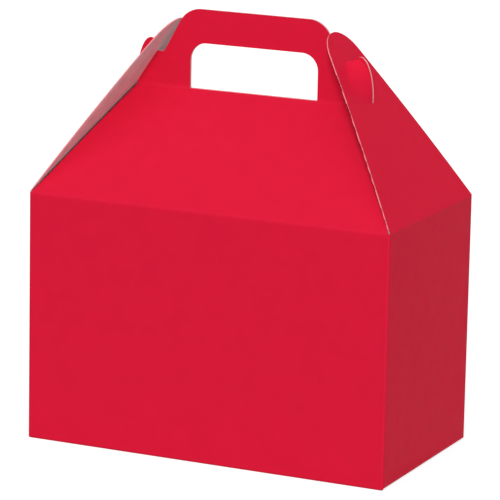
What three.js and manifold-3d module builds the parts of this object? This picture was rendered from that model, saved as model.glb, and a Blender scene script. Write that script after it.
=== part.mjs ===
import * as THREE from 'three';
import { mergeVertices } from 'three/addons/utils/BufferGeometryUtils.js';
import Module from 'manifold-3d';

// Gable box folded from one sheet of coated red paperboard.
// Millimetres, +Z up. The base is centred on the origin, the front faces -Y and the handle runs along X.
// Two end flaps close the gable. The ears of the handle reach out through a slot in each of them.

// Box
const BOX_LENGTH = 216;
const BOX_DEPTH = 117;
const WALL_HEIGHT = 140.6;
const BOARD = 0.6;
const CORNER_RADIUS = 1.2;
const CREASE_RADIUS = 1.2;

// Gable and handle, with heights counted from the crease below
const GABLE_RISE = 55.7;
const GABLE_TOP_LENGTH = 143.4;
const HANDLE_RISE = 44.5;
const HANDLE_GAP = 0.3;
const SHOULDER_RADIUS = 13.8;
const SHOULDER_ROOM = 1.7;
const HAND_HOLE_LENGTH = 77.2;
const HAND_HOLE_HEIGHT = 25.7;
const HAND_HOLE_RADIUS = 9.6;

// Ear at each end of the handle, and the notch that holds the end flap
const EAR_HEIGHT = 26.4;
const EAR_PROUD = 8.8;
const EAR_SWELL = 1.6;
const EAR_SWELL_HEIGHT = 9.5;
const EAR_TUCK = 2;
const EAR_TIP_RADIUS = 1.4;
const NOTCH_HEIGHT = 19.1;
const NOTCH_ROOM_INSIDE = 4.2;
const NOTCH_ROOM_OUTSIDE = 2;
const NOTCH_RADIUS = 2;

// End flap
const FLAP_PAST_SLOT = 15.2;
const FLAP_TIP_RADIUS = 18;
const FLAP_BOW = 1.5;
const FLAP_CORNER_INSET = 0.5;
const TONGUE_WIDTH = 22;
const SEAT_GAP = 0.3;
const SLOT_SIDE_CLEARANCE = 0.3;
const SLOT_FOOT_CLEARANCE = 0.6;
const SLOT_TOP_CLEARANCE = 3;

// Glue strip and bottom flaps, all hidden once the box is folded
const GLUE_STRIP_WIDTH = 14;
const GLUE_STRIP_INSET = 8;
const GLUE_STRIP_TAPER = 4;
const FRONT_BOTTOM_DEPTH = 68;
const BACK_BOTTOM_DEPTH = 72;
const END_BOTTOM_LENGTH = 52;
const BOTTOM_CORNER_CUT = 9;
const BOTTOM_EDGE_GAP = 0.8;

const creaseHeight = WALL_HEIGHT + GABLE_RISE;
const topHeight = creaseHeight + HANDLE_RISE;
const halfLength = BOX_LENGTH / 2;
const halfDepth = BOX_DEPTH / 2;
const lean = Math.atan((halfLength - GABLE_TOP_LENGTH / 2) / GABLE_RISE);
const handleFace = HANDLE_GAP / 2 + BOARD;

// How far a hidden layer runs into the wall that carries it, so that the two are one sheet.
const overlap = BOARD / 2;

const wasm = await Module();
wasm.setup();

// Solids

function solid(geometry) {
  geometry.deleteAttribute('normal');
  geometry.deleteAttribute('uv');
  const merged = mergeVertices(geometry);
  return new wasm.Manifold(new wasm.Mesh({
    numProp: 3,
    vertProperties: new Float32Array(merged.attributes.position.array),
    triVerts: new Uint32Array(merged.index.array),
  }));
}

function mesh(name, body, material) {
  const { vertProperties, triVerts } = body.getMesh();
  const geometry = new THREE.BufferGeometry();
  geometry.setAttribute('position', new THREE.BufferAttribute(vertProperties, 3));
  geometry.setIndex(new THREE.BufferAttribute(triVerts, 1));
  geometry.computeVertexNormals();
  const piece = new THREE.Mesh(geometry, material);
  piece.name = name;
  return piece;
}

const X = new THREE.Vector3(1, 0, 0);
const Y = new THREE.Vector3(0, 1, 0);
const Z = new THREE.Vector3(0, 0, 1);

// A plane is the world directions of a drawing's two axes and of its thickness.
const SIDE_PLANE = new THREE.Matrix4().makeBasis(Y, Z, X);
const FRONT_PLANE = new THREE.Matrix4().makeBasis(X, Z, Y.clone().negate());
const BASE_PLANE = new THREE.Matrix4().makeBasis(X, Y, Z);

function plate(shape, plane, thickness, middle = 0) {
  const geometry = new THREE.ExtrudeGeometry(shape, {
    depth: thickness, bevelEnabled: false, curveSegments: 6,
  });
  geometry.translate(0, 0, middle - thickness / 2);
  return solid(geometry.applyMatrix4(plane));
}

function block(x0, x1, y0, y1, z0, z1) {
  const geometry = new THREE.BoxGeometry(x1 - x0, y1 - y0, z1 - z0);
  return solid(geometry.translate((x0 + x1) / 2, (y0 + y1) / 2, (z0 + z1) / 2));
}

// Drawing

const point = (x, y) => new THREE.Vector2(x, y);

// Rounds the corner between two straight edges with an arc and returns its points.
function roundCorner(before, corner, after, radius, steps = 5) {
  const toBefore = before.clone().sub(corner).normalize();
  const toAfter = after.clone().sub(corner).normalize();
  const half = Math.acos(THREE.MathUtils.clamp(toBefore.dot(toAfter), -1, 1)) / 2;
  const centre = toBefore.clone().add(toAfter).normalize()
    .multiplyScalar(radius / Math.sin(half)).add(corner);
  const touch = corner.clone().addScaledVector(toBefore, radius / Math.tan(half));
  const turn = Math.sign(toBefore.cross(toAfter)) * (2 * half - Math.PI);
  return Array.from({ length: steps + 1 }, (_, i) => (
    touch.clone().rotateAround(centre, turn * i / steps)
  ));
}

// Gives a line of points a thickness to its left and closes the outline.
function thickLine(points, thickness) {
  const normals = points.slice(1).map((p, i) => {
    const along = p.clone().sub(points[i]).normalize();
    return point(-along.y, along.x);
  });
  const inner = points.map((p, i) => {
    const a = normals[Math.max(i - 1, 0)];
    const b = normals[Math.min(i, normals.length - 1)];
    const miter = a.clone().add(b).normalize();
    return p.clone().addScaledVector(miter, thickness / miter.dot(a));
  });
  return new THREE.Shape([...points, ...inner.reverse()]);
}

// The lean of the end flaps: where their outer face would stand at a height if it were flat.
const leanX = (z) => halfLength - (z - WALL_HEIGHT) * Math.tan(lean);

// Distance from the hinge crease of the right end flap. Up its slope this distance is called u.
const hingeReach = (x, z) => Math.hypot(halfLength - x, z - WALL_HEIGHT);

// Outline of the front and the back seen from the front

// An end flap bows outwards between its crease and its tip.
function bow(u, flapLength) {
  const s = u / flapLength;
  return 4 * FLAP_BOW * s * (1 - s);
}

// The gable panels end just inside the bowed end flaps.
function gableEdge(z, flapLength) {
  const u = (z - WALL_HEIGHT) / Math.cos(lean);
  return leanX(z) + (bow(u, flapLength) - BOARD - SEAT_GAP) / Math.cos(lean);
}

// The ear's outer edge, from the crease to the top of its rounded tip.
function earEdge(startX) {
  const topZ = creaseHeight + EAR_HEIGHT;
  const tipX = leanX(topZ) + EAR_PROUD;
  return new THREE.CubicBezierCurve(
    point(startX, creaseHeight),
    point(startX + EAR_SWELL, creaseHeight + EAR_SWELL_HEIGHT),
    point(startX - EAR_TUCK, topZ),
    point(tipX, topZ),
  );
}

// The ear's farthest point from the hinge sets the end of the slot, and so the flap's length.
function flapSizes() {
  const topZ = creaseHeight + EAR_HEIGHT;
  const innerX = leanX(topZ) + EAR_PROUD - EAR_TIP_RADIUS;
  const slotEnd = hingeReach(innerX, topZ) + SLOT_TOP_CLEARANCE;
  const length = slotEnd + FLAP_PAST_SLOT;
  const slotStart = hingeReach(gableEdge(creaseHeight, length), creaseHeight) - SLOT_FOOT_CLEARANCE;
  return { slotStart, slotEnd, length };
}

const flap = flapSizes();

function endOutline() {
  const points = [];
  const edgeSteps = 8;
  for (let i = 0; i <= edgeSteps; i += 1) {
    const z = WALL_HEIGHT + GABLE_RISE * i / edgeSteps;
    points.push(point(gableEdge(z, flap.length), z));
  }
  const ear = earEdge(points[edgeSteps].x).getPoints(10);
  const earTop = ear[ear.length - 1];
  const notchZ = creaseHeight + NOTCH_HEIGHT;
  const tipCorner = point(earTop.x - EAR_TIP_RADIUS, earTop.y);
  const notchOuter = point(leanX(notchZ) + NOTCH_ROOM_OUTSIDE, notchZ);
  const notchInner = point(leanX(notchZ) - NOTCH_ROOM_INSIDE, notchZ);
  const shoulder = point(leanX(topHeight) - SHOULDER_ROOM, topHeight);
  const middle = point(0, topHeight);
  return [
    ...points,
    ...ear.slice(1, -1),
    ...roundCorner(ear[ear.length - 2], tipCorner, notchOuter, EAR_TIP_RADIUS),
    ...roundCorner(tipCorner, notchOuter, notchInner, NOTCH_RADIUS / 2),
    ...roundCorner(notchOuter, notchInner, shoulder, NOTCH_RADIUS),
    ...roundCorner(notchInner, shoulder, middle, SHOULDER_RADIUS, 8),
  ];
}

function sheetOutline() {
  const side = halfLength - CORNER_RADIUS;
  const right = [point(side, 0), point(side, WALL_HEIGHT - CREASE_RADIUS), ...endOutline()];
  const left = right.map((p) => point(-p.x, p.y)).reverse();
  return new THREE.Shape([...right, ...left]);
}

// The hand hole starts on the handle crease with square corners and is rounded at the top.
function handHole() {
  const half = HAND_HOLE_LENGTH / 2;
  const bottomRight = point(half, creaseHeight);
  const topRight = point(half, creaseHeight + HAND_HOLE_HEIGHT);
  const topLeft = point(-half, topRight.y);
  const bottomLeft = point(-half, creaseHeight);
  return new THREE.Shape([
    bottomLeft,
    ...roundCorner(bottomLeft, topLeft, topRight, HAND_HOLE_RADIUS),
    ...roundCorner(topLeft, topRight, bottomRight, HAND_HOLE_RADIUS),
    bottomRight,
  ]);
}

// Carton

// Wall, gable panel and handle half are one strip that bends at the two creases.
function wallAndGable(side) {
  const foot = point(side * halfDepth, 0);
  const wallTop = point(side * halfDepth, WALL_HEIGHT);
  const gableTop = point(side * handleFace, creaseHeight);
  const handleTop = point(side * handleFace, topHeight);
  const line = [
    foot,
    ...roundCorner(foot, wallTop, gableTop, CREASE_RADIUS, 3),
    ...roundCorner(wallTop, gableTop, handleTop, CREASE_RADIUS, 3),
    handleTop,
  ];
  const section = thickLine(side > 0 ? line : line.reverse(), BOARD);
  const strip = plate(section, SIDE_PLANE, BOX_LENGTH);
  return strip
    .intersect(plate(sheetOutline(), FRONT_PLANE, 2 * BOX_DEPTH))
    .subtract(plate(handHole(), FRONT_PLANE, BOX_DEPTH));
}

function roundedRectangle(halfX, halfY, radius) {
  const corners = [
    point(halfX, -halfY), point(halfX, halfY), point(-halfX, halfY), point(-halfX, -halfY),
  ];
  return corners.flatMap((corner, i) => (
    roundCorner(corners[(i + 3) % 4], corner, corners[(i + 1) % 4], radius, 4)
  ));
}

// The end walls and the four rounded corners, which run into the front and the back.
function endWalls() {
  const outline = new THREE.Shape(roundedRectangle(halfLength, halfDepth, CORNER_RADIUS));
  outline.holes.push(new THREE.Path(
    roundedRectangle(halfLength - BOARD, halfDepth - BOARD, CORNER_RADIUS - BOARD),
  ));
  const ring = plate(outline, BASE_PLANE, WALL_HEIGHT, WALL_HEIGHT / 2);
  const between = halfLength - 2 * CORNER_RADIUS;
  const window = block(-between, between, -BOX_DEPTH, BOX_DEPTH, -BOARD, WALL_HEIGHT + BOARD);
  return ring.subtract(window);
}

// A bottom flap seen from above, drawn from its crease along +Y with its two free corners cut.
function bottomFlap(halfWidth, reach, layer) {
  const shape = new THREE.Shape([
    point(-halfWidth, 0),
    point(halfWidth, 0),
    point(halfWidth, reach - BOTTOM_CORNER_CUT),
    point(halfWidth - BOTTOM_CORNER_CUT, reach),
    point(BOTTOM_CORNER_CUT - halfWidth, reach),
    point(-halfWidth, reach - BOTTOM_CORNER_CUT),
  ]);
  return plate(shape, BASE_PLANE, BOARD, (layer + 0.5) * BOARD);
}

// The front flap lies lowest, the two end flaps on it and the back flap on top of them.
function bottom() {
  const insideLength = halfLength - BOARD - BOTTOM_EDGE_GAP;
  const insideDepth = halfDepth - BOARD - BOTTOM_EDGE_GAP;
  const front = bottomFlap(insideLength, FRONT_BOTTOM_DEPTH, 0)
    .translate([0, overlap - halfDepth, 0]);
  const back = bottomFlap(insideLength, BACK_BOTTOM_DEPTH, 2)
    .rotate([0, 0, 180])
    .translate([0, halfDepth - overlap, 0]);
  const ends = [-1, 1].map((side) => bottomFlap(insideDepth, END_BOTTOM_LENGTH, 1)
    .rotate([0, 0, side * 90])
    .translate([side * (halfLength - overlap), 0, 0]));
  return front.add(back).add(ends[0]).add(ends[1]);
}

// The strip that joins the sheet into a tube, glued inside the back wall at the left corner.
function glueStrip() {
  const outer = BOARD - halfLength;
  const inner = outer + GLUE_STRIP_WIDTH;
  const shape = new THREE.Shape([
    point(outer - overlap, GLUE_STRIP_INSET - GLUE_STRIP_TAPER),
    point(inner, GLUE_STRIP_INSET),
    point(inner, WALL_HEIGHT - GLUE_STRIP_INSET),
    point(outer - overlap, WALL_HEIGHT - GLUE_STRIP_INSET + GLUE_STRIP_TAPER),
  ]);
  const middle = halfDepth - 1.5 * BOARD + overlap / 2;
  return plate(shape, FRONT_PLANE, BOARD + overlap, -middle);
}

function carton() {
  return endWalls()
    .add(wallAndGable(-1))
    .add(wallAndGable(1))
    .add(bottom())
    .add(glueStrip());
}

// End flap, drawn with X outwards from its face, Y across and Z up the slope from the hinge

const slotHalf = handleFace + SLOT_SIDE_CLEARANCE;

// The ear's outer edge seen from the flap: x is u and y the distance outwards from the flat lean.
function earProfile() {
  const outwards = point(Math.cos(lean), Math.sin(lean));
  const upwards = point(-Math.sin(lean), Math.cos(lean));
  const edge = earEdge(gableEdge(creaseHeight, flap.length)).getPoints(16);
  const profile = edge.map((p) => p.sub(point(halfLength, WALL_HEIGHT)))
    .map((p) => point(p.dot(upwards), p.dot(outwards)));
  return [point(flap.slotStart, 0), ...profile, point(flap.slotEnd, 0)];
}

const profile = earProfile();

function earHeight(u) {
  const next = profile.findIndex((p) => p.x > u);
  if (next < 1) return 0;
  const a = profile[next - 1];
  const b = profile[next];
  return a.y + (b.y - a.y) * (u - a.x) / (b.x - a.x);
}

// On the right flap, the half in front of the slot is pushed out over the ears.
// It is highest along its free edge. The left flap lies flat on both sides of the ears.
function tongue(y, u) {
  const across = 1 + y / TONGUE_WIDTH;
  if (y > 0 || across <= 0) return 0;
  return Math.max(earHeight(u) - bow(u, flap.length), 0) * across ** 2;
}

const steps = (from, to, count) => (
  Array.from({ length: count }, (_, i) => from + (to - from) * i / count)
);

// A box of unit cells whose corners are moved to the curved sheet.
function flapSheet(hasTongue) {
  const base = (SEAT_GAP + BOARD * Math.sin(lean)) / Math.cos(lean);
  const split = slotHalf / 2;
  const across = [
    ...steps(-halfDepth, -TONGUE_WIDTH, 1),
    ...steps(-TONGUE_WIDTH, -split, 7),
    ...steps(-split, split, 1),
    ...steps(split, halfDepth, 1),
    halfDepth,
  ];
  const along = [
    ...steps(base, flap.slotStart, 5),
    ...steps(flap.slotStart, flap.slotEnd, 10),
    ...steps(flap.slotEnd, flap.length, 2),
    flap.length,
  ];
  const rows = along.length - 1;
  const columns = across.length - 1;
  const geometry = new THREE.BoxGeometry(1, columns, rows, 1, columns, rows);
  const position = geometry.attributes.position;
  for (let i = 0; i < position.count; i += 1) {
    const y = across[Math.round(position.getY(i) + columns / 2)];
    const u = along[Math.round(position.getZ(i) + rows / 2)];
    const depth = position.getX(i) > 0 ? 0 : BOARD;
    const pushed = hasTongue ? tongue(y, u) : 0;
    position.setXYZ(i, bow(u, flap.length) + pushed - depth, y, u);
  }
  return solid(geometry);
}

// Straight sides run from the hinge's corners and touch the rounded tip.
function flapOutline() {
  const corner = point(halfDepth - FLAP_CORNER_INSET, 0);
  const tip = point(0, flap.length - FLAP_TIP_RADIUS);
  const toTip = tip.clone().sub(corner);
  const swing = Math.asin(FLAP_TIP_RADIUS / toTip.length());
  const sideAngle = toTip.angle() - swing;
  const start = sideAngle - Math.PI / 2;
  const shape = new THREE.Shape();
  shape.moveTo(corner.x, -BOARD);
  shape.lineTo(corner.x, 0);
  shape.absarc(tip.x, tip.y, FLAP_TIP_RADIUS, start, Math.PI - start, false);
  shape.lineTo(-corner.x, 0);
  shape.lineTo(-corner.x, -BOARD);
  return shape;
}

function endFlap(hasTongue) {
  const reach = 4 * EAR_HEIGHT; // ample for the curved sheet
  const outline = plate(flapOutline(), SIDE_PLANE, reach);
  const slot = block(-reach, reach, -slotHalf, slotHalf, flap.slotStart, flap.slotEnd);
  return flapSheet(hasTongue).intersect(outline).subtract(slot);
}

// Assembly

const printedBoard = () => new THREE.MeshStandardMaterial({
  color: 0xd11e38, roughness: 0.38, metalness: 0,
});

const box = new THREE.Group();
box.add(mesh('carton', carton(), printedBoard()));

// The left end is the right one turned round, without the tongue.
for (const [name, turn, hasTongue] of [
  ['end_flap_right', 0, true], ['end_flap_left', Math.PI, false],
]) {
  const end = new THREE.Group();
  end.rotation.z = turn;
  const flapMesh = mesh(name, endFlap(hasTongue), printedBoard());
  flapMesh.position.set(halfLength, 0, WALL_HEIGHT);
  flapMesh.rotation.y = -lean;
  end.add(flapMesh);
  box.add(end);
}

export default box;
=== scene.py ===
import math

import bpy
import numpy as np
from bpy.props import FloatProperty, FloatVectorProperty, PointerProperty
from bpy.types import Operator, Panel, PropertyGroup
from mathutils import Matrix, Vector
from mathutils.geometry import delaunay_2d_cdt


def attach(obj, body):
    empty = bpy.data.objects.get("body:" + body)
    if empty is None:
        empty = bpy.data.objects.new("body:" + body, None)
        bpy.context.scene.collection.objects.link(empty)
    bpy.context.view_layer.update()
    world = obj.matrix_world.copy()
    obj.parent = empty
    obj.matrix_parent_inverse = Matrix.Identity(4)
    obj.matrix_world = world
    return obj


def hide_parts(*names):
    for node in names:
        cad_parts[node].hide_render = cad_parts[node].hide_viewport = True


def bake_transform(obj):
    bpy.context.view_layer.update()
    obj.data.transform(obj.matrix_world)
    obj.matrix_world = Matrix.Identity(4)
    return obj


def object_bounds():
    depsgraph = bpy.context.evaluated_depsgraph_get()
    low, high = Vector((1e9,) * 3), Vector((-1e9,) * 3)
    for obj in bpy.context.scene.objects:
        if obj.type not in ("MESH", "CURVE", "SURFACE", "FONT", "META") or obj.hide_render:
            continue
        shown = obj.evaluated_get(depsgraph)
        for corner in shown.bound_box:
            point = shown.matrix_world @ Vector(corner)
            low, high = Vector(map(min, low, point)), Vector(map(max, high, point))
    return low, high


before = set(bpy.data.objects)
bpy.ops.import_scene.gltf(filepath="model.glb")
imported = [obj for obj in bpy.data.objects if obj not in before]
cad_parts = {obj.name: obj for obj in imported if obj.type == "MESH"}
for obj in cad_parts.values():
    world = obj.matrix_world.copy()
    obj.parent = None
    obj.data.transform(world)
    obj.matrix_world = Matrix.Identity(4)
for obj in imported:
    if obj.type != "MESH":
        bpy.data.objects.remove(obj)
CAD_BOUNDS = [list(corner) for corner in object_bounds()]

bl_info = {
    "name": "Gable Box",
    "version": (1, 0, 0),
    "blender": (4, 5, 0),
    "location": "3D View > Sidebar > Gable Box",
    "description": "Builds a folded paperboard gable box and the studio around it",
    "category": "Object",
}

MM = 0.001
HALF_LENGTH, HALF_DEPTH, TOP = CAD_BOUNDS[1]


class BoxSizes(PropertyGroup):
    """Sizes of the box and of its sheet."""

    wall_height: FloatProperty(
        name="Wall height", description="Base to the crease at the top of the walls",
        default=140.6 * MM, subtype="DISTANCE", unit="LENGTH", precision=4)
    gable_rise: FloatProperty(
        name="Gable rise", description="Wall crease to handle crease, measured upright",
        default=55.7 * MM, subtype="DISTANCE", unit="LENGTH", precision=4)
    gable_top: FloatProperty(
        name="Gable top length", description="Length between the end flaps at the handle crease",
        default=143.4 * MM, subtype="DISTANCE", unit="LENGTH", precision=4)
    board: FloatProperty(
        name="Board", description="Thickness of the paperboard",
        default=0.6 * MM, subtype="DISTANCE", unit="LENGTH", precision=5)
    fold_radius: FloatProperty(
        name="Fold radius", description="Outer radius of the bottom folds and the end flap creases",
        default=1.2 * MM, subtype="DISTANCE", unit="LENGTH", precision=5)
    corner_radius: FloatProperty(
        name="Corner radius", description="Outer radius of the four upright corners",
        default=1.3 * MM, subtype="DISTANCE", unit="LENGTH", precision=5)
    wall_crease_radius: FloatProperty(
        name="Wall crease radius", description="Outer radius of the crease between wall and gable",
        default=4.5 * MM, subtype="DISTANCE", unit="LENGTH", precision=5)
    handle_crease_radius: FloatProperty(
        name="Handle crease radius", description="Radius of the crease between gable and handle",
        default=4.0 * MM, subtype="DISTANCE", unit="LENGTH", precision=5)
    handle_gap: FloatProperty(
        name="Handle gap", description="Gap between the two halves of the handle",
        default=0.3 * MM, subtype="DISTANCE", unit="LENGTH", precision=5)
    hole_length: FloatProperty(
        name="Hand hole length", description="Length of the hand hole on the handle crease",
        default=77.2 * MM, subtype="DISTANCE", unit="LENGTH", precision=4)
    hole_height: FloatProperty(
        name="Hand hole height", description="Height of the hand hole above the handle crease",
        default=25.7 * MM, subtype="DISTANCE", unit="LENGTH", precision=4)
    ear_height: FloatProperty(
        name="Ear height", description="Handle crease to the top of an ear",
        default=26.4 * MM, subtype="DISTANCE", unit="LENGTH", precision=4)
    flap_bow: FloatProperty(
        name="Flap bow", description="How far an end flap bows outwards between crease and tip",
        default=0.9 * MM, subtype="DISTANCE", unit="LENGTH", precision=5)
    tongue_width: FloatProperty(
        name="Tongue width", description="Width of the bulge in front of an end flap's slot",
        default=18 * MM, subtype="DISTANCE", unit="LENGTH", precision=4)


class BoxColours(PropertyGroup):
    """Colours of the board's three surfaces and of the floor."""

    printed: FloatVectorProperty(
        name="Print", description="Coated red print on the outside", subtype="COLOR",
        default=(0.72, 0.0115, 0.043), min=0, max=1)
    inside: FloatVectorProperty(
        name="Inside", description="Bare grey board on the inside", subtype="COLOR",
        default=(0.74, 0.765, 0.775), min=0, max=1)
    edge: FloatVectorProperty(
        name="Cut edge", description="Pale core that shows on the cut edges", subtype="COLOR",
        default=(0.92, 0.30, 0.33), min=0, max=1)
    floor: FloatVectorProperty(
        name="Floor", description="Pale studio floor", subtype="COLOR",
        default=(0.5, 0.5, 0.5), min=0, max=1)


# Flat drawing

SHOULDER_RADIUS = 13.8 * MM
SHOULDER_ROOM = 1.7 * MM
HOLE_RADIUS = 9.6 * MM
EAR_PROUD = 8.8 * MM
EAR_TIP_RADIUS = 1.4 * MM
EAR_SWELL = 1.6 * MM
EAR_SWELL_HEIGHT = 9.5 * MM
EAR_TUCK = 2.0 * MM
NOTCH_HEIGHT = 19.1 * MM
NOTCH_ROOM_INSIDE = 4.2 * MM
NOTCH_ROOM_OUTSIDE = 2.0 * MM
NOTCH_RADIUS = 2.0 * MM
FLAP_PAST_SLOT = 15.2 * MM
FLAP_TIP_RADIUS = 19.5 * MM
FLAP_CORNER_INSET = 0.3 * MM
FLAP_STRIP = 3 * MM
SEAT_GAP = 0.8 * MM
SEAT_GAP_REACH = 10 * MM
SEAT_GAP_FOOT_SHARE = 0.1
SLOT_SIDE_CLEARANCE = 0.3 * MM
SLOT_FOOT_RISE = 1.2 * MM
SLOT_TOP_CLEARANCE = 3 * MM
SLIT_PAST_EARS = 0.4 * MM
SLIT_PAST_NOTCH = 0.4 * MM
SLIT_TAPER = 2 * MM
TONGUE_TAPER = 12 * MM
GLUE_STRIP_WIDTH = 14 * MM
GLUE_STRIP_INSET = 8 * MM
GLUE_STRIP_TAPER = 4 * MM
BOTTOM_REACH = {"front": 68 * MM, "back": 72 * MM, "end": 52 * MM}
BOTTOM_LAYER = {"front": 0, "end": 1, "back": 2}
BOTTOM_CORNER_CUT = 9 * MM
BOTTOM_EDGE_GAP = 0.2 * MM
SEAM_CLEARANCE = 0.02 * MM
SEAM_END_GAP = 0.3 * MM
FLAP_FOOT_RISE = 0.3 * MM
FLAP_BLEND_REACH = 1.5 * MM
FOLD_WEAR_WIDTH = 0.8 * MM
WELD_DISTANCE = 0.001 * MM
SHARP_ANGLE = math.radians(38)
CARTON_GRID_STEP = 5 * MM
FLAP_GRID_STEP = 2 * MM
OUTLINE_STEP = 1.0 * MM
CREASE_STEP = 0.3 * MM
CREASE_REACH = 2.4 * MM


def unit(v):
    return v / np.linalg.norm(v)


def round_corner(before, corner, after, radius, steps=8):
    """Points of the arc that rounds the corner between two straight edges."""
    before, corner, after = (np.array(p, float) for p in (before, corner, after))
    a, b = unit(before - corner), unit(after - corner)
    half = math.acos(np.clip(a @ b, -1, 1)) / 2
    centre = corner + unit(a + b) * radius / math.sin(half)
    touch = corner + a * radius / math.tan(half) - centre
    turn = np.sign(a[0] * b[1] - a[1] * b[0]) * (2 * half - math.pi)
    points = []
    for angle in np.linspace(0, turn, steps + 1):
        c, s = math.cos(angle), math.sin(angle)
        points.append(centre + [c * touch[0] - s * touch[1], s * touch[0] + c * touch[1]])
    return points


def rounded_line(corners, radii):
    """A line through the corners, with each inner corner rounded by its radius."""
    points = [np.array(corners[0], float)]
    for i, radius in enumerate(radii, 1):
        points += round_corner(corners[i - 1], corners[i], corners[i + 1], radius)
    return points + [np.array(corners[-1], float)]


def bezier(p0, p1, p2, p3, steps):
    t = np.linspace(0, 1, steps + 1)[:, None]
    p0, p1, p2, p3 = (np.array(p, float) for p in (p0, p1, p2, p3))
    return (1 - t)**3 * p0 + 3 * (1 - t)**2 * t * p1 + 3 * (1 - t) * t**2 * p2 + t**3 * p3


class Walk:
    """A line walked by its length, which folds a flat drawing."""

    def __init__(self, points):
        self.points = np.array(points, float)
        steps = np.linalg.norm(np.diff(self.points, axis=0), axis=1)
        self.length = np.concatenate([[0], np.cumsum(steps)])

    def at(self, s):
        return np.stack([np.interp(s, self.length, self.points[:, k]) for k in (0, 1)], -1)

    def length_at(self, point):
        """Length along the line of its nearest point."""
        a, b = self.points[:-1], self.points[1:]
        along = b - a
        t = np.clip(((point - a) * along).sum(1) / (along**2).sum(1), 0, 1)
        k = np.argmin(np.linalg.norm(a + along * t[:, None] - point, axis=1))
        return self.length[k] + t[k] * np.linalg.norm(along[k])


class Layout:
    """What follows from the sizes: the lean of the end flaps, the ears and the slots."""

    def __init__(self, sizes):
        self.sizes = sizes
        self.height = sizes.wall_height
        self.crease = sizes.wall_height + sizes.gable_rise
        self.lean = math.atan((HALF_LENGTH - sizes.gable_top / 2) / sizes.gable_rise)
        self.handle_face = sizes.handle_gap / 2 + sizes.board
        self.slot_half = self.handle_face + SLOT_SIDE_CLEARANCE
        self.ear_top = self.crease + sizes.ear_height
        inner_x = self.lean_x(self.ear_top) + EAR_PROUD - EAR_TIP_RADIUS
        self.ear_reach = self.reach(inner_x, self.ear_top)
        self.flap_length = self.ear_reach + SLOT_TOP_CLEARANCE + FLAP_PAST_SLOT
        self.slot_start = self.reach(self.gable_edge(self.crease), self.crease) + SLOT_FOOT_RISE

    def lean_x(self, z):
        return HALF_LENGTH - (z - self.height) * math.tan(self.lean)

    def reach(self, x, z):
        """Distance from the hinge crease of the right end flap."""
        return math.hypot(HALF_LENGTH - x, z - self.height)

    def bow(self, u):
        share = u / self.flap_length
        return 4 * self.sizes.flap_bow * share * (1 - share)

    def seat_gap(self, u):
        """Gap under an end flap, which narrows to a tenth at the wall crease."""
        return SEAT_GAP * min(1, SEAT_GAP_FOOT_SHARE + u / SEAT_GAP_REACH)

    def gable_edge(self, z):
        u = (z - self.height) / math.cos(self.lean)
        proud = self.bow(u) - self.sizes.board - self.seat_gap(u)
        return self.lean_x(z) + proud / math.cos(self.lean)

    def ear_edge(self):
        """The ear's outer edge, from the crease to the top of its rounded tip."""
        start = self.gable_edge(self.crease)
        return bezier(
            (start, self.crease),
            (start + EAR_SWELL, self.crease + EAR_SWELL_HEIGHT),
            (start - EAR_TUCK, self.ear_top),
            (self.lean_x(self.ear_top) + EAR_PROUD, self.ear_top),
            24,
        )

    def slit_end(self, pushed_out):
        """The slit ends in the notch, or just past the ears where they push the flap out."""
        if pushed_out:
            return self.ear_reach + SLIT_PAST_EARS
        return (NOTCH_HEIGHT + self.crease - self.height) / math.cos(self.lean) + SLIT_PAST_NOTCH

    def ear_profile(self):
        """Distance of the ear's edge outside the flat lean, against the reach up the flap."""
        outwards = np.array([math.cos(self.lean), math.sin(self.lean)])
        upwards = np.array([-math.sin(self.lean), math.cos(self.lean)])
        edge = self.ear_edge() - [HALF_LENGTH, self.height]
        up, out = edge @ upwards, edge @ outwards
        fall = np.linspace(0, 1, 9)[1:]
        up_fall = up[-1] + (self.slit_end(True) - up[-1]) * fall
        out_fall = out[-1] * (1 + np.cos(np.pi * fall)) / 2
        return (
            np.concatenate([[self.slot_start], up, up_fall]),
            np.concatenate([[0], out, out_fall]),
        )

    def panel_edge(self):
        """The right half of a gable panel and handle half, from the wall crease to the top."""
        side = HALF_LENGTH - self.sizes.corner_radius
        heights = np.linspace(self.height, self.crease, 12)
        edge = [(min(self.gable_edge(z), side), z) for z in heights]
        ear = [tuple(p) for p in self.ear_edge()]
        notch_z = self.crease + NOTCH_HEIGHT
        tip = (ear[-1][0] - EAR_TIP_RADIUS, self.ear_top)
        notch_outer = (self.lean_x(notch_z) + NOTCH_ROOM_OUTSIDE, notch_z)
        notch_inner = (self.lean_x(notch_z) - NOTCH_ROOM_INSIDE, notch_z)
        shoulder = (self.lean_x(TOP) - SHOULDER_ROOM, TOP)
        return (
            [(side, self.height)] + edge[1:] + ear[1:-1]
            + round_corner(ear[-2], tip, notch_outer, EAR_TIP_RADIUS)
            + round_corner(tip, notch_outer, notch_inner, NOTCH_RADIUS / 2)
            + round_corner(notch_outer, notch_inner, shoulder, NOTCH_RADIUS)
            + round_corner(notch_inner, shoulder, (0, TOP), SHOULDER_RADIUS, 16)
        )

    def hand_hole(self):
        """Square corners on the crease, round corners at the top."""
        half = self.sizes.hole_length / 2
        top = self.crease + self.sizes.hole_height
        corners = [(-half, self.crease), (-half, top), (half, top), (half, self.crease)]
        return (
            corners[:1]
            + round_corner(*corners[:3], HOLE_RADIUS, 12)
            + round_corner(*corners[1:], HOLE_RADIUS, 12)
            + corners[-1:]
        )


def subdivide(points, step):
    """A closed outline with points no farther apart than the step."""
    points = np.array(points, float)
    result = []
    for a, b in zip(points, np.roll(points, -1, axis=0)):
        count = max(1, math.ceil(np.linalg.norm(b - a) / step))
        result += [a + (b - a) * k / count for k in range(count)]
    return np.array(result)


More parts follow.
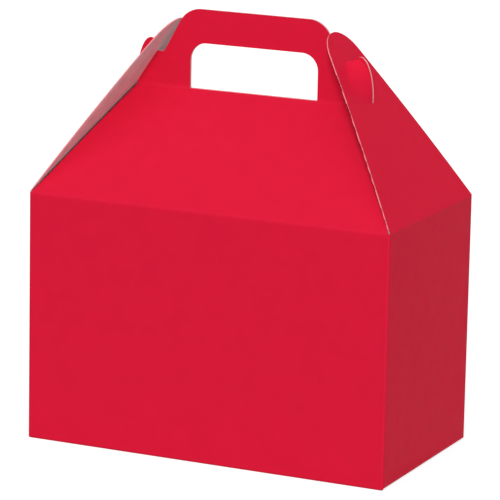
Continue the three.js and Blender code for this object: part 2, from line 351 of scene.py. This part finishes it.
def inside(points, outline):
    """Which points lie inside a closed outline."""
    a, b = outline, np.roll(outline, -1, axis=0)
    result = np.zeros(len(points), bool)
    for k in range(len(a)):
        crosses = (a[k, 1] > points[:, 1]) != (b[k, 1] > points[:, 1])
        if crosses.any():
            share = (points[:, 1] - a[k, 1]) / (b[k, 1] - a[k, 1])
            result ^= crosses & (points[:, 0] < a[k, 0] + share * (b[k, 0] - a[k, 0]))
    return result


def clear_of(points, outline, distance):
    """Which points are farther than the distance from every point of a fine outline."""
    keep = np.ones(len(points), bool)
    for start in range(0, len(outline), 64):
        part = outline[start:start + 64]
        gaps = np.linalg.norm(points[:, None] - part[None], axis=2)
        keep &= gaps.min(axis=1) > distance
    return keep


def lines_between(low, high, step, creases):
    """Grid lines at a step, and close together beside each crease."""
    near = np.arange(-CREASE_REACH, CREASE_REACH + CREASE_STEP / 2, CREASE_STEP)
    fine = np.concatenate([[c + d for d in near] for c in creases]) if creases else np.empty(0)
    coarse = np.linspace(low, high, max(2, math.ceil((high - low) / step)) + 1)
    if len(fine):
        gap = np.abs(coarse[:, None] - fine[None]).min(axis=1)
        coarse = coarse[gap > 2 * CREASE_STEP]
    lines = np.sort(np.concatenate([coarse, fine]))
    return lines[(lines > low) & (lines < high)]


def flat_mesh(outline, holes, columns, rows):
    """Triangles that fill an outline with holes, with points on a grid."""
    loops = [subdivide(loop, OUTLINE_STEP) for loop in [outline, *holes]]
    grid = np.stack(np.meshgrid(columns, rows), -1).reshape(-1, 2)
    grid = grid[inside(grid, loops[0])]
    for loop in loops:
        grid = grid[clear_of(grid, loop, 0.6 * OUTLINE_STEP)]
    for loop in loops[1:]:
        grid = grid[~inside(grid, loop)]
    edges, start = [], 0
    for loop in loops:
        count = len(loop)
        edges += [(start + k, start + (k + 1) % count) for k in range(count)]
        start += count
    points = np.concatenate([*loops, grid])
    found = delaunay_2d_cdt([Vector(p) for p in points], edges, [], 0, 1e-8)
    points = np.array(found[0])
    triangles = np.array(found[2])
    middle = points[triangles].mean(axis=1)
    keep = inside(middle, loops[0])
    for loop in loops[1:]:
        keep &= ~inside(middle, loop)
    return points, triangles[keep]


# Materials

def new_material(name):
    material = bpy.data.materials.new(name)
    material.use_nodes = True
    nodes = material.node_tree.nodes
    return material, nodes, material.node_tree.links, nodes["Principled BSDF"]


def noise(nodes, links, coordinates, scale, detail=4.0, roughness=0.55):
    """Noise on Object coordinates, with the scale in features a metre."""
    node = nodes.new("ShaderNodeTexNoise")
    node.inputs["Scale"].default_value = scale
    node.inputs["Detail"].default_value = detail
    node.inputs["Roughness"].default_value = roughness
    links.new(coordinates, node.inputs["Vector"])
    return node.outputs["Fac"]


def spread(nodes, links, value, low, high):
    """Carries the middle of a noise to a range."""
    node = nodes.new("ShaderNodeMapRange")
    node.inputs["From Min"].default_value = 0.3
    node.inputs["From Max"].default_value = 0.7
    node.inputs["To Min"].default_value = low
    node.inputs["To Max"].default_value = high
    links.new(value, node.inputs["Value"])
    return node.outputs["Result"]


def mix_colour(nodes, links, factor, a, b):
    node = nodes.new("ShaderNodeMix")
    node.data_type = "RGBA"
    for socket, value in ((node.inputs[0], factor), (node.inputs[6], a), (node.inputs[7], b)):
        if isinstance(value, bpy.types.NodeSocket):
            links.new(value, socket)
        else:
            socket.default_value = value
    return node.outputs[2]


def tint(colour, factor):
    return tuple(min(1, c * factor) for c in colour) + (1,)


def bump(nodes, links, height, distance, strength, normal=None):
    node = nodes.new("ShaderNodeBump")
    node.inputs["Strength"].default_value = strength
    node.inputs["Distance"].default_value = distance
    links.new(height, node.inputs["Height"])
    if normal is not None:
        links.new(normal, node.inputs["Normal"])
    return node.outputs["Normal"]


def printed_material(colour):
    """Coated red print: a soft sheen, a faint mottle, fine fibre and paler worn folds."""
    material, nodes, links, shader = new_material("coated_red_print")
    place = nodes.new("ShaderNodeTexCoord").outputs["Object"]
    mottle = spread(nodes, links, noise(nodes, links, place, 90), 0, 1)
    ink = mix_colour(nodes, links, mottle, tint(colour, 0.98), tint(colour, 1.02))
    crease = nodes.new("ShaderNodeAttribute")
    crease.attribute_name = "crease"
    broken = nodes.new("ShaderNodeMath")
    broken.operation = "MULTIPLY"
    links.new(crease.outputs["Fac"], broken.inputs[0])
    links.new(spread(nodes, links, noise(nodes, links, place, 700), 0.0, 0.05), broken.inputs[1])
    worn = (min(1, colour[0] * 1.3), colour[1] * 8, colour[2] * 4, 1)
    links.new(mix_colour(nodes, links, broken.outputs[0], ink, worn), shader.inputs["Base Color"])
    sheen = spread(nodes, links, noise(nodes, links, place, 160), 0.36, 0.46)
    links.new(sheen, shader.inputs["Roughness"])
    shader.inputs["Specular IOR Level"].default_value = 0.015
    wave = bump(nodes, links, noise(nodes, links, place, 22, 2.0), 0.6 * MM, 0.12)
    fibre = bump(nodes, links, noise(nodes, links, place, 1500, 3.0), 0.03 * MM, 0.35, wave)
    links.new(fibre, shader.inputs["Normal"])
    return material


def inside_material(colour):
    """Bare grey board with long fibres and small specks."""
    material, nodes, links, shader = new_material("bare_grey_board")
    place = nodes.new("ShaderNodeTexCoord").outputs["Object"]
    clouds = spread(nodes, links, noise(nodes, links, place, 120, 6.0, 0.65), 0, 1)
    base = mix_colour(nodes, links, clouds, tint(colour, 0.9), tint(colour, 1.1))
    specks = nodes.new("ShaderNodeMapRange")
    specks.inputs["From Min"].default_value = 0.66
    specks.inputs["From Max"].default_value = 0.76
    specks.inputs["To Max"].default_value = 0.4
    links.new(noise(nodes, links, place, 1800, 2.0), specks.inputs["Value"])
    dark = tint(colour, 0.55)
    surface = mix_colour(nodes, links, specks.outputs["Result"], base, dark)
    links.new(surface, shader.inputs["Base Color"])
    shader.inputs["Roughness"].default_value = 0.85
    shader.inputs["Specular IOR Level"].default_value = 0.2
    fibre = bump(nodes, links, noise(nodes, links, place, 1100, 5.0, 0.7), 0.08 * MM, 0.5)
    links.new(fibre, shader.inputs["Normal"])
    return material


def edge_material(colour):
    """Cut edge of the board: a pale core with a rough, fibrous face."""
    material, nodes, links, shader = new_material("cut_board_edge")
    place = nodes.new("ShaderNodeTexCoord").outputs["Object"]
    fibres = spread(nodes, links, noise(nodes, links, place, 900, 5.0, 0.7), 0, 1)
    core = mix_colour(nodes, links, fibres, tint(colour, 0.88), tint(colour, 1.08))
    links.new(core, shader.inputs["Base Color"])
    shader.inputs["Roughness"].default_value = 0.9
    shader.inputs["Specular IOR Level"].default_value = 0.15
    rough = bump(nodes, links, noise(nodes, links, place, 2500, 3.0), 0.06 * MM, 0.6)
    links.new(rough, shader.inputs["Normal"])
    return material


def board_materials():
    """The three faces of the board, made once and shared by every area of the sheet."""
    colours = bpy.context.scene.gable_box_colours
    makers = {
        "coated_red_print": (printed_material, colours.printed),
        "bare_grey_board": (inside_material, colours.inside),
        "cut_board_edge": (edge_material, colours.edge),
    }
    return [
        bpy.data.materials.get(name) or make(tuple(colour))
        for name, (make, colour) in makers.items()
    ]


# Board thickness

def thickness_tree():
    """Geometry Nodes that give a folded surface its board: print, inside and cut edge."""
    name = "Board Thickness"
    if name in bpy.data.node_groups:
        return bpy.data.node_groups[name]
    tree = bpy.data.node_groups.new(name, "GeometryNodeTree")
    face = tree.interface
    face.new_socket("Surface", in_out="INPUT", socket_type="NodeSocketGeometry")
    thickness = face.new_socket("Thickness", in_out="INPUT", socket_type="NodeSocketFloat")
    thickness.subtype = "DISTANCE"
    for finish in ("Print", "Inside", "Cut Edge"):
        face.new_socket(finish, in_out="INPUT", socket_type="NodeSocketMaterial")
    face.new_socket("Board", in_out="OUTPUT", socket_type="NodeSocketGeometry")

    def add(kind):
        return tree.nodes.new(kind)

    def link(a, b):
        tree.links.new(a, b)

    start, end = add("NodeGroupInput"), add("NodeGroupOutput")
    inwards = add("ShaderNodeMath")
    inwards.operation = "MULTIPLY"
    inwards.inputs[1].default_value = -1
    link(start.outputs["Thickness"], inwards.inputs[0])
    extrude = add("GeometryNodeExtrudeMesh")
    extrude.mode = "FACES"
    extrude.inputs["Individual"].default_value = False
    link(start.outputs["Surface"], extrude.inputs["Mesh"])
    link(inwards.outputs[0], extrude.inputs["Offset Scale"])
    flip = add("GeometryNodeFlipFaces")
    link(extrude.outputs["Mesh"], flip.inputs["Mesh"])
    inner = add("GeometryNodeSetMaterial")
    link(flip.outputs["Mesh"], inner.inputs["Geometry"])
    link(start.outputs["Inside"], inner.inputs["Material"])
    outer = add("GeometryNodeSetMaterial")
    link(start.outputs["Surface"], outer.inputs["Geometry"])
    link(start.outputs["Print"], outer.inputs["Material"])
    join = add("GeometryNodeJoinGeometry")
    link(inner.outputs["Geometry"], join.inputs["Geometry"])
    link(outer.outputs["Geometry"], join.inputs["Geometry"])
    weld = add("GeometryNodeMergeByDistance")
    weld.inputs["Distance"].default_value = WELD_DISTANCE
    link(join.outputs["Geometry"], weld.inputs["Geometry"])
    realize = add("GeometryNodeRealizeInstances")
    link(weld.outputs["Geometry"], realize.inputs["Geometry"])
    cut = add("GeometryNodeSetMaterial")
    link(realize.outputs["Geometry"], cut.inputs["Geometry"])
    link(extrude.outputs["Side"], cut.inputs["Selection"])
    link(start.outputs["Cut Edge"], cut.inputs["Material"])
    link(cut.outputs["Geometry"], end.inputs["Board"])
    return tree


def board_object(name, points, triangles, crease, thickness):
    """Makes a board of real thickness from its outer surface, as one plain mesh."""
    corners = points[triangles]
    normals = np.cross(corners[:, 1] - corners[:, 0], corners[:, 2] - corners[:, 0])
    outwards = corners.mean(axis=1) - [0, 0, TOP / 2]
    if (normals * outwards).sum() < 0:
        triangles = triangles[:, ::-1]
    surface = bpy.data.meshes.new(name + "_surface")
    surface.from_pydata(points.tolist(), [], triangles.tolist())
    values = surface.attributes.new("crease", "FLOAT", "POINT")
    values.data.foreach_set("value", crease.astype(np.float32))
    source = bpy.data.objects.new(name + "_surface", surface)
    bpy.context.scene.collection.objects.link(source)
    tree = thickness_tree()
    modifier = source.modifiers.new("Board Thickness", "NODES")
    modifier.node_group = tree
    inputs = [thickness, *board_materials()]
    sockets = [
        item for item in tree.interface.items_tree
        if item.in_out == "INPUT" and item.socket_type != "NodeSocketGeometry"
    ]
    for socket, value in zip(sockets, inputs):
        modifier[socket.identifier] = value
    depsgraph = bpy.context.evaluated_depsgraph_get()
    mesh = bpy.data.meshes.new_from_object(source.evaluated_get(depsgraph), depsgraph=depsgraph)
    mesh.name = name
    bpy.data.objects.remove(source)
    bpy.data.meshes.remove(surface)
    mesh.shade_smooth()
    mesh.set_sharp_from_angle(angle=SHARP_ANGLE)
    piece = bpy.data.objects.new(name, mesh)
    bpy.context.scene.collection.objects.link(piece)
    return piece


def fold_wear(distance):
    """How strongly a fold shows at a distance from its middle."""
    return np.exp(-(distance / FOLD_WEAR_WIDTH)**2)


# Carton

class CartonFold:
    """The flat blank of the carton and how it folds."""

    def __init__(self, layout):
        self.layout = layout
        radius = layout.sizes.corner_radius
        seam = layout.sizes.board + SEAM_CLEARANCE
        self.around = Walk(rounded_line([
            (GLUE_STRIP_WIDTH - HALF_LENGTH, HALF_DEPTH - seam),
            (-HALF_LENGTH, HALF_DEPTH - seam),
            (-HALF_LENGTH, -HALF_DEPTH),
            (HALF_LENGTH, -HALF_DEPTH),
            (HALF_LENGTH, HALF_DEPTH),
            (-HALF_LENGTH + SEAM_END_GAP, HALF_DEPTH),
        ], [radius] * 4))
        self.half = {
            "left": HALF_DEPTH - radius, "front": HALF_LENGTH - radius,
            "right": HALF_DEPTH - radius, "back": HALF_LENGTH - radius,
        }
        middles = {
            "left": (-HALF_LENGTH, 0), "front": (0, -HALF_DEPTH),
            "right": (HALF_LENGTH, 0), "back": (0, HALF_DEPTH),
        }
        self.inwards = {
            "left": (1, 0), "front": (0, 1), "right": (-1, 0), "back": (0, -1),
        }
        self.middle = {side: self.around.length_at(p) for side, p in middles.items()}
        self.section = {side: self.side_section(side) for side in middles}

    def side_section(self, side):
        """Bottom flap, wall, gable panel and handle half as a line of depth and height."""
        layout, sizes = self.layout, self.layout.sizes
        kind = side if side in ("front", "back") else "end"
        layer = BOTTOM_LAYER[kind] * sizes.board
        corners = [(BOTTOM_REACH[kind], layer), (0, layer), (0, layout.height)]
        radii = [sizes.fold_radius]
        if kind != "end":
            depth = HALF_DEPTH - layout.handle_face
            corners += [(depth, layout.crease), (depth, TOP)]
            radii += [sizes.wall_crease_radius, sizes.handle_crease_radius]
        walk = Walk(rounded_line(corners, radii))
        wall_middle = walk.length_at((0, layout.height / 2))
        walk.length = walk.length - wall_middle + layout.height / 2
        return walk

    def up_front(self, z):
        """Length up the blank of a height on the front or the back, above the wall."""
        walk = self.section["front"]
        above = walk.points[:, 1] > self.layout.height / 2
        return np.interp(z, walk.points[above, 1], walk.length[above])

    def bottom_outline(self, side):
        kind = side if side in ("front", "back") else "end"
        end = self.section[side].length[0]
        half = self.half[side] - BOTTOM_EDGE_GAP
        cut = BOTTOM_CORNER_CUT
        layer = BOTTOM_LAYER[kind] * self.layout.sizes.board
        drawn = [
            (-half, layer), (-half, end + cut), (cut - half, end),
            (half - cut, end), (half, end + cut), (half, layer),
        ]
        return [(self.middle[side] + x, v) for x, v in drawn]

    def panel_outline(self, side):
        right = self.layout.panel_edge()
        points = right + [(-x, z) for x, z in reversed(right)]
        return [(self.middle[side] + x, self.up_front(z)) for x, z in points]

    def outline(self):
        height = self.layout.height
        start, end = self.around.length[0], self.around.length[-1]
        strip_end = start + GLUE_STRIP_WIDTH
        strip_low, strip_high = GLUE_STRIP_INSET, height - GLUE_STRIP_INSET
        bottom = [(start, strip_low), (strip_end, strip_low - GLUE_STRIP_TAPER)]
        for side in ("left", "front", "right", "back"):
            bottom += self.bottom_outline(side)
        top = [(end, 0), (end, height - self.layout.sizes.fold_radius)]
        for side in ("back", "right", "front", "left"):
            middle, half = self.middle[side], self.half[side]
            if side in ("front", "back"):
                top += self.panel_outline(side)
            else:
                top += [
                    (middle + half, height), (middle + half, height - FLAP_STRIP),
                    (middle - half, height - FLAP_STRIP), (middle - half, height),
                ]
        top += [(strip_end, strip_high + GLUE_STRIP_TAPER), (start, strip_high)]
        return bottom + top

    def holes(self):
        drawn = self.layout.hand_hole()
        return [
            [(self.middle[side] + x, self.up_front(z)) for x, z in drawn]
            for side in ("front", "back")
        ]

    def corner_lines(self):
        quarter = math.pi / 2 * self.layout.sizes.corner_radius / 2
        left = self.middle["left"] - self.half["left"] - quarter
        return [left] + [
            self.middle[side] + self.half[side] + quarter for side in ("left", "front", "right")
        ]

    def fold(self, flat):
        """Carries points of the blank to their folded places on the outer face."""
        q, v = flat[:, 0], flat[:, 1]
        plan = self.around.at(q)
        height = v.copy()
        arc = math.pi / 2 * self.layout.sizes.corner_radius
        for side, middle in self.middle.items():
            past = (np.abs(q - middle) - self.half[side]) / arc
            share = np.clip(1 - past, 0, 1) if side in ("front", "back") else (past < 0.001) * 1.0
            depth = self.section[side].at(v)
            plan += (share * depth[:, 0])[:, None] * np.array(self.inwards[side])
            height += share * (depth[:, 1] - v)
        return np.column_stack([plan, height])

    def wear(self, flat):
        q, v = flat[:, 0], flat[:, 1]
        nearest = np.abs(q[:, None] - np.array(self.corner_lines())[None]).min(axis=1)
        nearest[(v < 0) | (v > self.layout.height)] = 1
        for side, middle in self.middle.items():
            on = np.abs(q - middle) <= self.half[side]
            levels = [0.0]
            if side in ("front", "back"):
                levels += [self.layout.height, self.up_front(self.layout.crease)]
            gap = np.abs(v[on, None] - np.array(levels)[None]).min(axis=1)
            nearest[on] = np.minimum(nearest[on], gap)
        return fold_wear(nearest)


class GABLEBOX_OT_carton(Operator):
    """Build the carton: walls, bottom, gable panels and handle folded from one sheet"""

    bl_idname = "gable_box.carton"
    bl_label = "Carton"

    def execute(self, context):
        layout = Layout(context.scene.gable_box_sizes)
        carton = CartonFold(layout)
        outline, holes = carton.outline(), carton.holes()
        low, high = np.min(outline, axis=0), np.max(outline, axis=0)
        creases = [0.0, layout.height, float(carton.up_front(layout.crease))]
        columns = lines_between(low[0], high[0], CARTON_GRID_STEP, carton.corner_lines())
        rows = lines_between(low[1], high[1], CARTON_GRID_STEP, creases)
        flat, triangles = flat_mesh(outline, holes, columns, rows)
        piece = board_object(
            "carton_board", carton.fold(flat), triangles, carton.wear(flat), layout.sizes.board)
        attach(piece, "carton")
        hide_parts("carton")
        return {"FINISHED"}


# End flaps

class FlapFold:
    """An end flap with the strip of wall under its crease, drawn flat and then curved."""

    def __init__(self, layout, side, pushed_out):
        self.layout = layout
        self.side = side
        self.pushed_out = pushed_out
        corner = (HALF_LENGTH, layout.height)
        steps = np.linspace(0.04, 1, 60) * layout.flap_length
        rise = [self.on_lean(u, layout.bow(u)) for u in steps]
        foot = (HALF_LENGTH, layout.height - FLAP_STRIP)
        bend = round_corner(foot, corner, rise[0], layout.sizes.fold_radius)
        self.walk = Walk([foot, *bend, *rise])
        self.walk.length -= self.walk.length_at(corner)
        self.ear_up, self.ear_out = layout.ear_profile()

    def on_lean(self, u, out):
        """A point up the flap and outside the flat lean, as x and z."""
        lean = self.layout.lean
        x = HALF_LENGTH - u * math.sin(lean) + out * math.cos(lean)
        return (x, self.layout.height + u * math.cos(lean) + out * math.sin(lean))

    def outline(self):
        layout = self.layout
        half = HALF_DEPTH - FLAP_CORNER_INSET
        centre = layout.flap_length - FLAP_TIP_RADIUS
        to_tip = math.atan2(centre, -half)
        swing = math.asin(FLAP_TIP_RADIUS / math.hypot(centre, half))
        start = to_tip - swing - math.pi / 2
        angles = np.linspace(start, math.pi - start, 48)
        tip = [
            (FLAP_TIP_RADIUS * math.cos(a), centre + FLAP_TIP_RADIUS * math.sin(a))
            for a in angles
        ]
        strip = HALF_DEPTH - layout.sizes.corner_radius
        return [
            (-strip, -FLAP_STRIP), (strip, -FLAP_STRIP), (strip, 0), (half, FLAP_FOOT_RISE),
            *tip, (-half, FLAP_FOOT_RISE), (-strip, 0),
        ]

    def slot(self):
        half, low = self.layout.slot_half, self.layout.slot_start
        high = self.layout.slit_end(self.pushed_out)
        return [
            (-half / 4, low), (half / 4, low), (half, low + SLIT_TAPER),
            (half, high), (-half, high), (-half, low + SLIT_TAPER),
        ]

    def tongue(self, y, u):
        """How far the front half is pushed out over the ears."""
        below_end = np.clip((self.layout.slit_end(True) - u) / TONGUE_TAPER, 0.001, 1)
        width = self.layout.sizes.tongue_width * np.sqrt(below_end)
        across = np.clip(1 + y / width, 0, None)
        ear = np.interp(u, self.ear_up, self.ear_out, left=0, right=0)
        out = np.maximum(ear - self.layout.bow(u), 0) * across**2
        return np.where((y < 0) & (u > 0), out, 0)

    def fold(self, flat):
        y, u = flat[:, 0], flat[:, 1]
        line = self.walk.at(u)
        out = self.tongue(y, u) if self.pushed_out else 0
        lean = self.layout.lean
        x = line[:, 0] + out * math.cos(lean)
        z = line[:, 1] + out * math.sin(lean)
        return np.column_stack([self.side * x, y, z])


def build_flap(layout, side, pushed_out, name, node):
    flap = FlapFold(layout, side, pushed_out)
    sizes = layout.sizes
    outline = flap.outline()
    low, high = np.min(outline, axis=0), np.max(outline, axis=0)
    columns = lines_between(low[0], high[0], FLAP_GRID_STEP, [])
    rows = lines_between(low[1], high[1], FLAP_GRID_STEP, [0.0])
    flat, triangles = flat_mesh(outline, [flap.slot()], columns, rows)
    wear = fold_wear(flat[:, 1])
    piece = board_object(name, flap.fold(flat), triangles, wear, sizes.board)
    low, high = layout.height - FLAP_BLEND_REACH, layout.height + FLAP_BLEND_REACH
    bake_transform(piece)
    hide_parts(node)


class GABLEBOX_OT_end_flaps(Operator):
    """Build the two end flaps, hooked on the ears of the handle"""

    bl_idname = "gable_box.end_flaps"
    bl_label = "End Flaps"

    def execute(self, context):
        layout = Layout(context.scene.gable_box_sizes)
        build_flap(layout, 1, True, "end_flap_right_board", "end_flap_right")
        build_flap(layout, -1, False, "end_flap_left_board", "end_flap_left")
        return {"FINISHED"}


# Stage

CAMERA_YAW = math.radians(25.06)
CAMERA_PITCH = math.radians(12.77)
CAMERA_ROLL = math.radians(1.13)
CAMERA_TARGET = Vector((-0.4 * MM, 0.1 * MM, 108.4 * MM))
CAMERA_DISTANCE = 1.934
FOCAL_PIXELS = 3483
PHOTO_PIXELS = 500
SENSOR_WIDTH = 36
LAMPS = {
    "key_lamp": {"direction": (0.302, -0.830, 0.469), "strength": 1.85, "softness": 14},
    "top_lamp": {"direction": (0, -0.20, 0.98), "strength": 0.70, "softness": 50},
    "side_lamp": {"direction": (0.985, -0.05, 0.17), "strength": 0.31, "softness": 50},
}
AMBIENT = 0.30
FLOOR_LIFT = 0.7
FLOOR_HALF_SIZE = 3


def add_camera():
    """The camera stands to the right of the box and looks a little down on it."""
    flat = math.cos(CAMERA_PITCH)
    forward = Vector((
        -math.sin(CAMERA_YAW) * flat, math.cos(CAMERA_YAW) * flat, -math.sin(CAMERA_PITCH)))
    level = forward.cross(Vector((0, 0, 1))).normalized()
    upright = level.cross(forward)
    c, s = math.cos(CAMERA_ROLL), math.sin(CAMERA_ROLL)
    right = c * level + s * upright
    up = c * upright - s * level
    data = bpy.data.cameras.new("photo_camera")
    data.sensor_width = SENSOR_WIDTH
    data.lens = FOCAL_PIXELS / PHOTO_PIXELS * SENSOR_WIDTH
    data.clip_start = 0.05
    camera = bpy.data.objects.new("photo_camera", data)
    bpy.context.scene.collection.objects.link(camera)
    turn = Matrix((right, up, -forward)).transposed().to_4x4()
    camera.matrix_world = Matrix.Translation(CAMERA_TARGET - forward * CAMERA_DISTANCE) @ turn
    bpy.context.scene.camera = camera


def add_lamp(name, direction, strength, softness):
    """A soft, distant lamp in a direction from the box, with its softness in degrees."""
    data = bpy.data.lights.new(name, "SUN")
    data.energy = strength
    data.angle = math.radians(softness)
    light = bpy.data.objects.new(name, data)
    bpy.context.scene.collection.objects.link(light)
    light.rotation_euler = Vector(direction).to_track_quat("Z", "Y").to_euler()


def seen_directly(nodes, links):
    """1 for camera, glossy and transmission rays, and 0 for the rays that light the object."""
    rays = nodes.new("ShaderNodeLightPath")
    seen = rays.outputs["Is Camera Ray"]
    for ray in ("Is Glossy Ray", "Is Transmission Ray"):
        either = nodes.new("ShaderNodeMath")
        either.operation = "MAXIMUM"
        links.new(seen, either.inputs[0])
        links.new(rays.outputs[ray], either.inputs[1])
        seen = either.outputs[0]
    return seen


def add_world(ambient):
    world = bpy.data.worlds.new("studio")
    bpy.context.scene.world = world
    world.use_nodes = True
    nodes, links = world.node_tree.nodes, world.node_tree.links
    background = nodes["Background"]
    background.inputs["Color"].default_value = (1, 1, 1, 1)
    background.inputs["Strength"].default_value = ambient
    white = nodes.new("ShaderNodeBackground")
    mix = nodes.new("ShaderNodeMixShader")
    links.new(seen_directly(nodes, links), mix.inputs[0])
    links.new(background.outputs[0], mix.inputs[1])
    links.new(white.outputs[0], mix.inputs[2])
    links.new(mix.outputs[0], nodes["World Output"].inputs["Surface"])


def add_floor(colour):
    half = FLOOR_HALF_SIZE
    mesh = bpy.data.meshes.new("floor")
    corners = [(-half, -half, 0), (half, -half, 0), (half, half, 0), (-half, half, 0)]
    mesh.from_pydata(corners, [], [(0, 1, 2, 3)])
    floor = bpy.data.objects.new("floor", mesh)
    bpy.context.scene.collection.objects.link(floor)
    material, nodes, links, shader = new_material("pale_floor")
    shader.inputs["Base Color"].default_value = (*colour, 1)
    shader.inputs["Roughness"].default_value = 0.9
    shader.inputs["Specular IOR Level"].default_value = 0.1
    shader.inputs["Emission Color"].default_value = (1, 1, 1, 1)
    lift = nodes.new("ShaderNodeMath")
    lift.operation = "MULTIPLY"
    lift.inputs[1].default_value = FLOOR_LIFT
    links.new(seen_directly(nodes, links), lift.inputs[0])
    links.new(lift.outputs[0], shader.inputs["Emission Strength"])
    mesh.materials.append(material)


class GABLEBOX_OT_stage(Operator):
    """Add the camera, the soft studio light and the pale floor"""

    bl_idname = "gable_box.stage"
    bl_label = "Stage"

    def execute(self, context):
        add_camera()
        add_world(AMBIENT)
        for name, lamp in LAMPS.items():
            add_lamp(name, **lamp)
        add_floor(context.scene.gable_box_colours.floor)
        context.scene.view_settings.view_transform = "Standard"
        return {"FINISHED"}


class GABLEBOX_PT_sidebar(Panel):
    """Lists the sizes, the colours and the build steps"""

    bl_idname = "GABLEBOX_PT_sidebar"
    bl_label = "Gable Box"
    bl_space_type = "VIEW_3D"
    bl_region_type = "UI"
    bl_category = "Gable Box"

    def draw(self, context):
        for group in (context.scene.gable_box_sizes, context.scene.gable_box_colours):
            column = self.layout.column(align=True)
            for name in group.bl_rna.properties.keys():
                if name not in ("rna_type", "name"):
                    column.prop(group, name)
        for operator in OPERATORS:
            self.layout.operator(operator.bl_idname)


OPERATORS = (GABLEBOX_OT_stage, GABLEBOX_OT_carton, GABLEBOX_OT_end_flaps)
CLASSES = (BoxSizes, BoxColours, *OPERATORS, GABLEBOX_PT_sidebar)


def register():
    for item in CLASSES:
        bpy.utils.register_class(item)
    bpy.types.Scene.gable_box_sizes = PointerProperty(type=BoxSizes)
    bpy.types.Scene.gable_box_colours = PointerProperty(type=BoxColours)


def unregister():
    del bpy.types.Scene.gable_box_colours
    del bpy.types.Scene.gable_box_sizes
    for item in reversed(CLASSES):
        bpy.utils.unregister_class(item)


def main():
    register()
    bpy.ops.gable_box.stage()
    bpy.ops.gable_box.carton()
    bpy.ops.gable_box.end_flaps()


if __name__ == "__main__":
    main()
